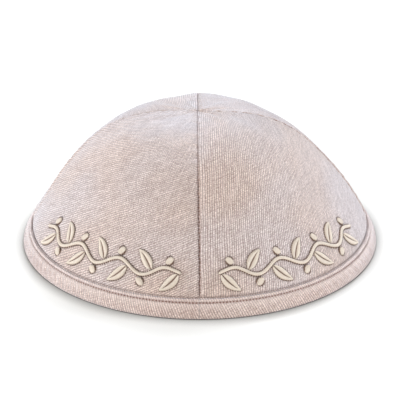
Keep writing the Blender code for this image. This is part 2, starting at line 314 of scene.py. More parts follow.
def new_piece(name, points, faces, material, uv=None, masks=None):
    """Mesh piece on the body. uv has a row for each point or each corner, and masks a value for each point."""
    mesh = bpy.data.meshes.new(name)
    face_list = [face for part in faces for face in part.tolist()]
    mesh.from_pydata(points.reshape(-1, 3).tolist(), [], face_list)
    mesh.shade_smooth()
    if uv is not None:
        uv = np.asarray(uv, float).reshape(-1, 2)
        if len(uv) != len(mesh.loops):
            corner = np.empty(len(mesh.loops), int)
            mesh.loops.foreach_get("vertex_index", corner)
            uv = uv[corner]
        mesh.uv_layers.new(name="cloth").data.foreach_set("uv", uv.ravel())
    for mask, values in (masks or {}).items():
        layer = mesh.attributes.new(mask, "FLOAT", "POINT")
        layer.data.foreach_set("value", np.asarray(values, float).ravel())
    mesh.materials.append(material)
    piece = bpy.data.objects.new(name, mesh)
    bpy.context.scene.collection.objects.link(piece)
    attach(piece, BODY)
    return piece


# Embroidered line


def vine_height(distance):
    """The stem swings up and down, one half wave for each motif, and less so at its two ends."""
    ends = smooth_step(distance / HALF_WAVE) * smooth_step((VINE_LENGTH - distance) / HALF_WAVE)
    return WAVE_HEIGHT * np.sin(math.pi * distance / HALF_WAVE) * (1.0 + ends) / 2


def beside_stem(distance, off_middle):
    """Points that far from the middle of the stem, square to it. Above it is positive."""
    step = HALF_WAVE / 1000
    slope = (vine_height(distance + step) - vine_height(distance - step)) / (2 * step)
    length = np.hypot(slope, 1.0)
    x = distance - off_middle * slope / length
    y = vine_height(distance) + off_middle / length
    return np.stack(np.broadcast_arrays(x, y), axis=-1)


LEAF_DROP = STEM_WIDTH / 2 + CLEARANCE + LEAF_LENGTH * math.sin(LEAF_TILT)
BERRY_DROP = WAVE_HEIGHT + STEM_WIDTH / 2 + CLEARANCE + BERRY_WIDTH
VINE_LINE = BINDING_WIDTH + ORNAMENT_MARGIN + max(LEAF_DROP, BERRY_DROP)
VINE_REACH = float(reach_at(VINE_LINE))
VINE_LENGTH = (ORNAMENT_END - ORNAMENT_START) * VINE_REACH
HALF_WAVE = VINE_LENGTH / MOTIFS


def leaf_middle(number, share):
    """Points of a leaf's midrib, and its direction there.

    Its angle falls evenly from base to tip, so its place is that angle's sines, summed up.
    """
    upwards = -1.0 if number % 2 == 0 else 1.0
    base = beside_stem((number + LEAF_AT) * HALF_WAVE, upwards * (STEM_WIDTH / 2 + CLEARANCE))
    first = LEAF_TILT + LEAF_BEND / 2
    angle = first - LEAF_BEND * share
    x = (math.sin(first) - np.sin(angle)) / LEAF_BEND
    y = (np.cos(angle) - math.cos(first)) / LEAF_BEND * upwards
    ahead = np.stack((np.cos(angle), upwards * np.sin(angle)), axis=-1)
    return base + LEAF_LENGTH * np.stack((x, y), axis=-1), ahead


def leaf_half_width(share):
    return LEAF_WIDTH / 2 * np.sin(math.pi * np.clip(share, 0.0, 1.0) ** 0.8).clip(0.0) ** 0.85


def berry_middle(number):
    off_middle = STEM_WIDTH / 2 + CLEARANCE + BERRY_WIDTH / 2
    return beside_stem((number + 0.5) * HALF_WAVE, off_middle if number % 2 == 0 else -off_middle)


def on_wall(side, spots, lift):
    """Points over spots of (distance along the vine, height above the vine's middle)."""
    azimuth = side * (ORNAMENT_START + spots[..., 0] / VINE_REACH)
    return surface(azimuth, VINE_LINE + spots[..., 1], lift)


def square_to(ahead):
    return np.stack((-ahead[..., 1], ahead[..., 0]), axis=-1)


def stem_threads():
    """Ends of the stem's threads, which cross it at a slant, one every pitch."""
    count = int(VINE_LENGTH / SATIN_PITCH)
    distance = np.linspace(SATIN_PITCH, VINE_LENGTH - SATIN_PITCH, count)
    width = STEM_WIDTH / 2 * smooth_step(np.minimum(distance, VINE_LENGTH - distance) / STEM_WIDTH + 0.35)
    lean = 0.55 * width
    return beside_stem(distance - lean, -width), beside_stem(distance + lean, width), np.zeros(count)


def leaf_threads(number):
    """Ends of a leaf's threads, from its edge back to its midrib, on both of its halves."""
    count = int(LEAF_LENGTH / SATIN_PITCH * 0.95)
    edge_share = np.linspace(0.015, 0.985, count)
    rib_share = np.clip(edge_share - LEAF_SLANT, 0.0, 1.0)
    rib_share = rib_share + 0.03 * (1.0 - smooth_step(edge_share / LEAF_SLANT)) * edge_share
    starts, ends = [], []
    for half in (1.0, -1.0):
        edge, ahead = leaf_middle(number, edge_share)
        starts.append(edge + half * square_to(ahead) * (leaf_half_width(edge_share) + 0.00005)[:, None])
        rib, ahead = leaf_middle(number, rib_share)
        ends.append(rib + half * square_to(ahead) * 0.00012)
    return np.concatenate(starts), np.concatenate(ends), np.full(2 * count, 1.0)


def berry_threads(number):
    """Ends of a berry's threads, parallel chords of a circle."""
    count = int(BERRY_WIDTH / SATIN_PITCH)
    off = np.linspace(-0.95, 0.95, count) * BERRY_WIDTH / 2
    half = np.sqrt((BERRY_WIDTH / 2) ** 2 - off**2)
    turn = math.radians(58.0 if number % 2 == 0 else 122.0)
    ahead = np.array((math.cos(turn), math.sin(turn)))
    across = np.array((-ahead[1], ahead[0]))
    middle = berry_middle(number)
    return (
        middle + off[:, None] * across - half[:, None] * ahead,
        middle + off[:, None] * across + half[:, None] * ahead,
        np.zeros(count),
    )


def tubes(centres, radii, outwards):
    """Closed tubes, a ring of points square to each inner place on a line, and a pole at each end.

    Points, faces, and the distance along and share around at each corner. centres has a row for each tube.
    """
    sides = TUBE_SIDES
    tube_count, place_count = centres.shape[:2]
    ahead = np.gradient(centres, axis=1)
    ahead /= np.linalg.norm(ahead, axis=-1, keepdims=True)
    across = np.cross(ahead, outwards)
    across /= np.linalg.norm(across, axis=-1, keepdims=True)
    up = np.cross(across, ahead)
    turn = np.arange(sides) * 2 * math.pi / sides
    spoke = across[:, :, None] * np.cos(turn)[:, None] + up[:, :, None] * np.sin(turn)[:, None]
    rings = centres[:, :, None] + radii[..., None, None] * spoke
    inner = rings[:, 1:-1].reshape(tube_count, -1, 3)
    points = np.concatenate((centres[:, :1], inner, centres[:, -1:]), axis=1)
    steps = np.linalg.norm(np.diff(centres, axis=1), axis=-1)
    along = np.concatenate((np.zeros((tube_count, 1)), np.cumsum(steps, axis=1)), axis=1)

    ring, side = np.meshgrid(np.arange(place_count - 3), np.arange(sides), indexing="ij")
    ring, side = ring.ravel(), side.ravel()
    after = (side + 1) % sides
    low, high = 1 + ring * sides, 1 + (ring + 1) * sides
    quads = np.stack((low + side, high + side, high + after, low + after), axis=-1)
    quad_place = np.stack((ring, ring + 1, ring + 1, ring), axis=-1) + 1
    quad_side = np.stack((side, side, side + 1, side + 1), axis=-1)
    side = np.arange(sides)
    after = (side + 1) % sides
    last = 1 + (place_count - 2) * sides
    first_fan = np.stack((np.zeros_like(side), 1 + side, 1 + after), axis=-1)
    last_fan = np.stack((last + 0 * side, last - sides + after, last - sides + side), axis=-1)
    fan_side = np.stack((side + 0.5, side, side + 1), axis=-1)
    last_side = np.stack((side + 0.5, side + 1, side), axis=-1)
    first_place = np.tile((0, 1, 1), (sides, 1))
    last_place = np.tile((place_count - 1, place_count - 2, place_count - 2), (sides, 1))

    base = np.arange(tube_count)[:, None, None] * points.shape[1]
    fans = np.concatenate((first_fan, last_fan))
    fan_places = np.concatenate((first_place, last_place))
    fan_sides = np.concatenate((fan_side, last_side))
    faces = ((quads + base).reshape(-1, 4), (fans + base).reshape(-1, 3))

    def corners(places, sides_at):
        distance = along[:, places]
        share = np.broadcast_to(sides_at / sides, distance.shape)
        return np.stack((distance, share), axis=-1).reshape(-1, 2)

    uv = np.concatenate((corners(quad_place, quad_side), corners(fan_places, fan_sides)))
    return points, faces, uv


def over_rings(values):
    """A value for each place along a tube, given to each point of its ring and once to each pole."""
    rings = np.repeat(values[..., 1:-1], TUBE_SIDES, axis=-1)
    return np.concatenate((values[..., :1], rings, values[..., -1:]), axis=-1)


def satin(name, side, starts, ends, meets_rib, material, replaced):
    """Threads side by side: each rises from the cloth, runs over the padding and goes down again.

    The lift is an arch between the two ends. It is lower on a short thread, and at a midrib the thread
    goes down only half way.
    """
    along = np.array((0.0, 0.07, 0.24, 0.5, 0.76, 0.93, 1.0))
    length = np.linalg.norm(ends - starts, axis=1)
    crest = np.minimum(SATIN_CREST, 0.00016 + 0.42 * length)
    spots = starts[:, None] + (ends - starts)[:, None] * along[None, :, None]
    low = -SATIN_DIP + along[None] * (SATIN_DIP + 0.45 * crest[:, None]) * meets_rib[:, None]
    arch = np.sin(math.pi * np.clip(along, 0.0, 1.0)) ** 0.55
    lift = low + (crest[:, None] - low) * arch[None] - SATIN_RADIUS
    lift = lift + draw.uniform(-1.0, 1.0, (len(starts), 1)) * 0.00003
    centres = on_wall(side, spots, lift)
    outwards = on_wall(side, spots, lift + 0.0005) - centres
    radii = SATIN_RADIUS * np.broadcast_to((0.5, 0.8, 1.0, 1.0, 1.0, 0.8, 0.5), lift.shape)
    points, faces, uv = tubes(centres, radii, outwards)
    # painted shade at the thread ends, where they go into the cloth, and less of it at a midrib
    ring_shade = 1.0 - smooth_step(np.minimum(along, 1.0 - along) / 0.26)
    paler_at_rib = np.where(along[None] > 0.5, 1.0 - 0.45 * meets_rib[:, None], 1.0)
    shade = over_rings(ring_shade[None] * paler_at_rib)
    tint = np.broadcast_to(draw.uniform(0.0, 1.0, (len(starts), 1)), shade.shape)
    masks = {"end_shade": shade, "tint": tint}
    piece = new_piece(name, points, faces, material, uv, masks)
    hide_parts(*replaced)
    return piece


def make_padding(name, side, lines, half_widths, material):
    """Stitched underlay beneath satin fields, dark all over as painted shade, whose edge shows past the threads
    as a row of needle holes.

    Each field is a tube of stations along a line. A station is a ring of six points square to the line: three
    on a low dome, two at its edges and one beneath the cloth. The edge swings out at every third station.
    """
    ring_across = np.array((-1.0, -0.55, 0.0, 0.55, 1.0, 0.0))
    ring_lift = np.array((0.0, 0.75, 1.0, 0.75, 0.0, -0.35))
    centres = []
    for line, half in zip(lines, half_widths):
        ahead = np.gradient(line, axis=0)
        ahead /= np.linalg.norm(ahead, axis=1, keepdims=True)
        rim = np.where(np.arange(len(half)) % 3 == 0, HOLE_OUT, HOLE_IN)
        wide = (half + rim)[:, None] * ring_across[None]
        spots = line[:, None] + square_to(ahead)[:, None] * wide[..., None]
        crest = 0.55 * SATIN_CREST * np.clip(half / (STEM_WIDTH / 2), 0.0, 1.0)
        lift = 0.00006 + crest[:, None] * ring_lift.clip(0.0)[None] + 0.0006 * ring_lift.clip(None, 0.0)[None]
        centres.append(on_wall(side, spots, lift))
    faces, base = [], 0
    for ring in centres:
        stations, sides = ring.shape[:2]
        faces.append(strip_faces(stations, sides) + base)
        ends = np.array(((5, 4, 1, 0), (4, 3, 2, 1)))
        faces.append(ends + base)
        faces.append(ends[:, ::-1] + base + (stations - 1) * sides)
        base += stations * sides
    points = np.concatenate([ring.reshape(-1, 3) for ring in centres])
    shade = np.ones(len(points))
    uv = points[:, :2]
    masks = {"end_shade": shade, "tint": shade}
    return new_piece(name, points, faces, material, uv, masks)


# Panels


def vine_circles(side):
    """Circles that together cover the ornament: middles in the wall's own coordinates, and radii."""
    middles, radii = [], []
    distance = np.linspace(0.0, VINE_LENGTH, 260)
    middles.append(beside_stem(distance, 0.0))
    radii.append(np.full(len(distance), STEM_WIDTH / 2))
    share = np.linspace(0.03, 0.97, 22)
    for number in range(MOTIFS):
        middles.append(leaf_middle(number, share)[0])
        radii.append(leaf_half_width(share))
        middles.append(berry_middle(number)[None])
        radii.append(np.array((BERRY_WIDTH / 2,)))
    return np.concatenate(middles), np.concatenate(radii)


def from_ornament(side, azimuth, height):
    """Distance from each point of the cloth to the edge of the ornament, less than zero beneath it."""
    distance = (azimuth * side - ORNAMENT_START) * VINE_REACH
    spots = np.stack((distance, height - VINE_LINE), axis=-1).reshape(-1, 2)
    middles, radii = vine_circles(side)
    nearest = np.full(len(spots), 1.0)
    near = np.abs(spots[:, 1]) < ORNAMENT_REACH
    gaps = np.linalg.norm(spots[near][:, None] - middles[None], axis=-1) - radii[None]
    nearest[near] = gaps.min(axis=1)
    return nearest.reshape(azimuth.shape)


def panel_columns(reach, columns):
    """Azimuths across a panel from its middle, close together near its two seams."""
    half = QUARTER / 2 - np.arcsin(np.clip(SEAM_GAP / 2 / reach, 0.0, math.sin(QUARTER / 2)))
    scale = np.minimum(1.0, half * reach * 0.3 / EDGE_STEPS[-1])
    edge = EDGE_STEPS[None] * (scale / reach)[:, None]
    middle = np.linspace(-1.0, 1.0, columns + 2)[None, 1:-1] * (half - edge[:, -1])[:, None]
    return np.concatenate((-half[:, None] + edge, middle, half[:, None] - edge[:, ::-1]), axis=1), half


def sway(azimuth, height, nearest):
    """Sideways shift of the cloth beside a seam: two sines up the seam, the same on both of its sides."""
    seam = np.round(azimuth / QUARTER) % 4
    shift = np.sin(2 * math.pi * height / 0.0061 + 1.7 * seam)
    shift = shift + 0.8 * np.sin(2 * math.pi * height / 0.0037 + 2.9 * seam)
    return SWAY * shift * np.exp(-((nearest / SWAY_REACH) ** 2))


def make_panel(name, middle, grid, grain, material):
    """A gore of the dome. Its outer face rolls into the seams and lies over the turned allowance."""
    rows, columns = grid
    near_edge = np.linspace(BINDING_EDGE - 0.0008, BINDING_EDGE + 0.0045, 20)
    inside = np.linspace(RAW_EDGE_HEIGHT, near_edge[0], 6)[:-1]
    height = np.concatenate((inside, near_edge, np.linspace(near_edge[-1], TIP_HEIGHT, rows)[1:]))
    reach = reach_at(height)
    offset, half = panel_columns(reach, columns)
    azimuth = middle + offset
    height = np.broadcast_to(height[:, None], offset.shape)
    width = reach[:, None]
    past_seam = (offset + half[:, None]) * width
    to_seam = (half[:, None] - offset) * width
    nearest = np.minimum(past_seam, to_seam)
    free = swell_at(height)
    calm = 1.0 - 0.75 * smooth_step((height - CALM_FROM) / CALM_OVER)
    azimuth = azimuth + free * calm * sway(azimuth, height, nearest) / width
    ditch = (1.0 - smooth_step(nearest / SEAM_ROLL)) ** 1.5
    ridge = 1.0 - smooth_step((past_seam - ROLLED_WIDTH) / ROLLED_WIDTH)
    pucker = np.sin(2 * math.pi * height / PUCKER_LENGTH + 5.0 * middle)
    pucker = pucker + 0.6 * np.sin(2 * math.pi * height / PUCKER_LENGTH * 1.62 + 2.0 * middle)
    side = 1.0 if middle < math.pi else -1.0
    wrapped = azimuth if side > 0 else azimuth - 2 * math.pi
    gap = np.full(offset.shape, 1.0)
    if grid is FRONT_GRID:
        gap = from_ornament(side, wrapped, height)
    pulled = np.exp(-((gap.clip(0.0) / PULLED_REACH) ** 2))
    lift = free * calm * (ALLOWANCE_LIFT * ridge - SEAM_DITCH * ditch)
    lift = lift + free * PUCKER_LIFT * pucker * np.exp(-nearest / 0.0035)
    lift = lift - PULLED_IN * pulled
    outer = surface(azimuth, height, lift)
    inner = surface(azimuth, height, np.minimum(0.4 * lift, 0.0) - PANEL_WALL)
    points = np.concatenate((outer, inner[:, ::-1]), axis=1)

    if grain == 0.0:
        across, along = past_seam, height
    else:
        from_middle = offset * width
        across = height * math.cos(grain) - from_middle * math.sin(grain)
        along = from_middle * math.cos(grain) + height * math.sin(grain)
    uv = np.stack((across, along), axis=-1) + middle * 0.1
    uv = np.concatenate((uv, uv[:, ::-1]), axis=1)
    edge = np.exp(-(((height - BINDING_EDGE) / 0.00045) ** 2))
    # painted shade in the seam ditch, and a painted shadow beneath the binding's upper edge
    seam_shade = free * calm * np.exp(-((nearest / 0.00036) ** 2))
    seam_shade = np.maximum(seam_shade, 0.36 * edge)
    # painted shade around the ornament, where the cloth is pulled in
    hole_shade = 0.15 * np.exp(-((gap.clip(0.0) / 0.00035) ** 2))
    round_rim = azimuth * STITCHES / (2 * math.pi)
    turn = np.where(height < BINDING_EDGE + 0.0012, round_rim, height / SEAM_STITCH)
    plain = np.zeros_like(seam_shade)
    masks = {
        "seam_shade": np.concatenate((seam_shade, plain), axis=1),
        "hole_shade": np.concatenate((hole_shade, plain), axis=1),
        "stitch_turn": np.concatenate((turn, turn[:, ::-1]), axis=1),
    }
    loops, ring = points.shape[:2]
    faces = (strip_faces(loops, ring), end_faces(loops, ring))
    piece = new_piece("linen_" + name, points, faces, material, uv, masks)
    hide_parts(name)
    return piece


def make_allowance(name, azimuth, material):
    """Seam allowance on the inside: a flat strip along the seam, narrower where the panels end."""
    height = np.linspace(BINDING_INSIDE_WIDTH + 0.0008, TIP_HEIGHT - 0.0002, 90)
    reach = reach_at(height)
    half = np.minimum(ALLOWANCE_WIDTH, 0.6 * reach)
    share = np.linspace(-1.0, 1.0, 13)
    round_seam = azimuth + (half / reach)[:, None] * share
    tall = np.broadcast_to(height[:, None], round_seam.shape)
    top = surface(round_seam, tall, -PANEL_WALL + 0.0001 - 0.0002 * (np.abs(share) > 0.9))
    below = surface(round_seam, tall, -PANEL_WALL - ALLOWANCE_CLOTH * (1.0 - 0.4 * share**4))
    points = np.concatenate((top, below[:, ::-1]), axis=1)
    uv = np.stack(np.broadcast_arrays(share * half[:, None], tall), axis=-1)
    uv = np.concatenate((uv, uv[:, ::-1]), axis=1)
    plain = np.zeros(points.shape[:2])
    faces = (strip_faces(*points.shape[:2]), end_faces(*points.shape[:2]))
    masks = {"seam_shade": plain, "hole_shade": plain}
    piece = new_piece(f"seam_allowance_{name}", points, faces, material, uv, masks)
    return piece


def make_seam_threads(material):
    """Short threads across each seam, where the stitches that hold it show at the bottom of the ditch."""
    along = np.array((0.0, 0.2, 0.5, 0.8, 1.0))
    centres, outwards = [], []
    for _, azimuth in SEAMS:
        height = np.arange(BINDING_WIDTH + 0.0035, TIP_HEIGHT - 0.004, 0.0026)
        reach = reach_at(height)[:, None]
        across = (along - 0.5)[None] * 0.0011
        tall = height[:, None] + across * 0.5 + draw.uniform(-1, 1, (len(height), 1)) * 0.0003
        lift = -0.00062 - 0.0007 * (2 * along[None] - 1) ** 2
        lift = np.broadcast_to(lift, tall.shape)
        line = surface(azimuth + across / reach, tall, lift)
        centres.append(line)
        outwards.append(surface(azimuth + across / reach, tall, lift + 0.0005) - line)
    centres, outwards = np.concatenate(centres), np.concatenate(outwards)
    radii = np.broadcast_to(np.array((0.4, 1.0, 1.0, 1.0, 0.4)) * 0.00016, centres.shape[:2])
    points, faces, uv = tubes(centres, radii, outwards)
    # painted shade on the seam threads, which lie at the bottom of the ditch
    shade = np.full(points.shape[:2], 0.35)
    masks = {"end_shade": shade, "tint": shade}
    return new_piece("seam_threads", points, faces, material, uv, masks)


# Rim binding


def floor_point(depth, level):
    """Where the line of the wall, moved inwards by depth, meets a level above the table."""
    reach, rise = seam_curve(0.0, depth)
    return float(reach) - (level - float(rise)) / math.tan(RIM_SLOPE), level


def rounded(corner, before, after, radius, steps=6):
    """Arc of that radius in the corner between the directions to two neighbouring points."""
    corner, before, after = (np.array(point) for point in (corner, before, after))
    to_before = (before - corner) / np.linalg.norm(before - corner)
    to_after = (after - corner) / np.linalg.norm(after - corner)
    half = math.acos(float(to_before @ to_after)) / 2
    middle = (to_before + to_after) / np.linalg.norm(to_before + to_after)
    centre = corner + middle * radius / math.sin(half)
    start = corner + to_before * radius / math.tan(half) - centre
    end = corner + to_after * radius / math.tan(half) - centre
    spokes = start + (end - start) * np.linspace(0.0, 1.0, steps)[:, None]
    return centre + spokes / np.linalg.norm(spokes, axis=1, keepdims=True) * radius


def wall_points(heights, depth):
    return np.stack(seam_curve(share_at(np.asarray(heights, float)), depth), axis=-1)


def binding_profile():
    """Section of the folded strip, and the height of each point of its outer face (below zero elsewhere)."""
    pocket_out = BINDING_CLOTH
    pocket_in = pocket_out + CLEARANCE + PANEL_WALL + CLEARANCE
    inside = pocket_in + BINDING_CLOTH
    outer_heights = np.linspace(BINDING_EDGE - 0.0006, 0.0014, 40)
    top_out, top_pocket = wall_points((BINDING_EDGE,), 0.0)[0], wall_points((BINDING_EDGE,), pocket_out)[0]
    outer = wall_points(outer_heights, 0.0)
    foot_out, foot_in = floor_point(0.0, 0.0), floor_point(inside, 0.0)
    inner = wall_points(np.linspace(0.0035, BINDING_INSIDE_WIDTH - 0.0008, 8), inside)
    top_in = wall_points((BINDING_INSIDE_WIDTH,), inside)[0]
    top_pocket_in = wall_points((BINDING_INSIDE_WIDTH,), pocket_in)[0]
    parts = [
        rounded(top_out, top_pocket, outer[0], BINDING_EDGE_ROUND),
        outer,
        rounded(foot_out, outer[-1], foot_in, FOLD_RADIUS),
        rounded(foot_in, foot_out, inner[0], FOLD_RADIUS),
        inner,
        rounded(top_in, inner[-1], top_pocket_in, BINDING_EDGE_ROUND),
        np.array((top_pocket_in, *wall_points((BINDING_INSIDE_WIDTH / 2,), pocket_in))),
        np.array((floor_point(pocket_in, BINDING_CLOTH), floor_point(pocket_out, BINDING_CLOTH))),
        np.array((*wall_points((BINDING_EDGE / 2,), pocket_out), top_pocket)),
    ]
    heights = [np.full(len(part), -1.0) for part in parts]
    heights[0][2:] = BINDING_EDGE - 0.0003
    heights[1] = outer_heights
    return np.concatenate(parts), np.concatenate(heights)


def make_binding(material):
    """The strip folded over the rim: a puffed ridge above the stitch line, pits at the holes, slant ripples."""
    profile, height = binding_profile()
    columns = STITCHES * STITCH_COLUMNS
    azimuth = np.arange(columns) * 2 * math.pi / columns
    ahead = np.roll(profile, -1, axis=0) - np.roll(profile, 1, axis=0)
    ahead /= np.linalg.norm(ahead, axis=1, keepdims=True)
    normal = np.stack((-ahead[:, 1], ahead[:, 0]), axis=1)
    stitch = BINDING_EDGE - STITCH_LINE_INSET
    on_face = height > 0.0
    groove = np.exp(-(((height - stitch) / GROOVE_REACH) ** 2))
    short_of_edge = 1 - smooth_step((height - BINDING_EDGE + 0.0009) / 0.0009)
    top = smooth_step((height - stitch) / 0.0008) * short_of_edge
    down = np.clip((stitch - height) / (stitch - 0.0010), 0.0, 1.0)
    band = 4.0 * down * (1.0 - down)
    hole = 0.5 + 0.5 * np.cos(azimuth * STITCHES)
    ripple = np.sin(azimuth[:, None] * 122 + height[None] * 900) + 0.7 * np.sin(
        azimuth[:, None] * 197 - height[None] * 500 + 2 * np.sin(azimuth[:, None] * 7)
    )
    swing = 1.0 + 0.25 * np.sin(azimuth * 31) + 0.2 * np.sin(azimuth * 57 + 1.0)
    lift = RIDGE_LIFT * top[None] * swing[:, None] + BAND_LIFT * band[None]
    lift = lift + RIPPLE_LIFT * ripple * (band + 0.6 * top)[None]
    lift = lift - groove[None] * (GROOVE_DEPTH + PIT_DEPTH * (hole[:, None] - 0.5))
    lift = lift - EDGE_TAPER * smooth_step((height - BINDING_EDGE + 0.0010) / 0.0009)[None]
    lift = np.where(on_face[None], lift, 0.0)
    section = profile[None] + lift[..., None] * normal[None]
    reach, rise = section[..., 0], section[..., 1]
    points = np.stack((reach * np.sin(azimuth)[:, None], -reach * np.cos(azimuth)[:, None], rise), axis=-1)
    girth = np.concatenate(((0.0,), np.cumsum(np.linalg.norm(np.diff(profile, axis=0), axis=1))))
    lean = math.radians(25.0)
    round_rim = azimuth[:, None] * RIM_RADIUS
    across = round_rim * math.cos(lean) - girth[None] * math.sin(lean)
    along = -girth[None] * math.cos(lean) - round_rim * math.sin(lean)
    pit = groove[None] ** 2 * hole[:, None] * on_face[None]
    line = np.broadcast_to(groove[None] ** 2 * on_face[None], pit.shape)
    edge = np.where(on_face, np.exp(-(((BINDING_EDGE - height) / 0.0004) ** 2)), 0.0)
    # painted highlight on the puffed ridge and on the band below the stitch line, where light falls
    ridge_highlight = (top + smooth_step(down / 0.10) * (1.0 - smooth_step((down - 0.10) / 0.55))) * on_face
    masks = {
        # painted shade in the stitch pits and along the stitch groove
        "seam_shade": np.clip(pit + 0.15 * line, 0.0, 1.0),
        # painted shade along the upper edge of the binding
        "hole_shade": 0.25 * np.broadcast_to(edge[None], pit.shape),
        "ridge_highlight": np.broadcast_to(ridge_highlight[None], pit.shape),
        "stitch_turn": np.full(pit.shape, 0.25),
    }
    faces = (strip_faces(columns, len(profile), wrap_rows=True),)
    uv = np.stack((across, along), axis=-1)
    piece = new_piece("linen_rim_binding", points, faces, material, uv, masks)
    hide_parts("rim_binding")
    return piece


def make_topstitch(material):
    """A thread that shows once for each stitch: it comes out of one pit and goes down into the next."""
    along = np.array((0.0, 0.15, 0.5, 0.85, 1.0))
    start = (np.arange(STITCHES) + (1.0 - THREAD_SHARE) / 2) * 2 * math.pi / STITCHES
    azimuth = start[:, None] + along[None] * THREAD_SHARE * 2 * math.pi / STITCHES
    stitch = BINDING_EDGE - STITCH_LINE_INSET
    slip = draw.uniform(-1, 1, (STITCHES, 1)) * 0.00006
    height = stitch + slip + 0.00016 * (along[None] - 0.5)
    lift = -GROOVE_DEPTH + 0.00026 * np.sin(math.pi * along[None]) ** 0.6 - 0.00008

    def at(lifted):
        reach, rise = seam_curve(share_at(height), -lifted * np.ones_like(height))
        return np.stack((reach * np.sin(azimuth), -reach * np.cos(azimuth), rise), axis=-1)

    centres = at(lift)
    radii = np.broadcast_to(np.array((0.5, 1.0, 1.0, 1.0, 0.5)) * TOP_THREAD, centres.shape[:2])
    points, faces, uv = tubes(centres, radii, at(lift + 0.0005) - centres)
    # painted shade at the thread's ends, where it goes into the pits
    ring_shade = np.array((1.0, 0.4, 0.0, 0.4, 1.0))
    masks = {
        "end_shade": np.broadcast_to(over_rings(ring_shade), points.shape[:2]),
        "tint": np.broadcast_to(draw.uniform(0, 1, (STITCHES, 1)), points.shape[:2]),
    }
    return new_piece("rim_topstitch", points, faces, material, uv, masks)


# Materials


class Graph:
    """Adds nodes to a tree. Each value is a number, a colour or another node's socket."""

    def __init__(self, tree):
        self.tree = tree

    def feed(self, socket, value):
        if isinstance(value, bpy.types.NodeSocket):
            self.tree.links.new(value, socket)
        else:
            socket.default_value = value

    def node(self, kind, inputs=(), **settings):
        node = self.tree.nodes.new(kind)
        for key, value in settings.items():
            setattr(node, key, value)
        for key, value in dict(inputs).items():
            self.feed(node.inputs[key], value)
        return node

    def math(self, operation, *values):
        return self.node("ShaderNodeMath", enumerate(values), operation=operation).outputs[0]

    def vector(self, x, y, z=0.0):
        return self.node("ShaderNodeCombineXYZ", {"X": x, "Y": y, "Z": z}).outputs[0]

    def noise(self, place, detail=2.0, rough=0.5, scale=1.0):
        inputs = {"Vector": place, "Scale": scale, "Detail": detail, "Roughness": rough}
        return self.node("ShaderNodeTexNoise", inputs).outputs["Fac"]

    def span(self, value, low, high, to_low=0.0, to_high=1.0):
        inputs = {"Value": value, "From Min": low, "From Max": high, "To Min": to_low, "To Max": to_high}
        return self.node("ShaderNodeMapRange", inputs, interpolation_type="SMOOTHSTEP").outputs["Result"]

    def mix(self, share, first, second, blend="MIX"):
        node = self.node("ShaderNodeMix", data_type="RGBA", blend_type=blend)
        self.feed(node.inputs[0], share)
        self.feed(node.inputs[6], first)
        self.feed(node.inputs[7], second)
        return node.outputs[2]

    def mask(self, name):
        return self.node("ShaderNodeAttribute", attribute_name=name).outputs["Fac"]


def colour(rgb):
    return (*rgb, 1.0)


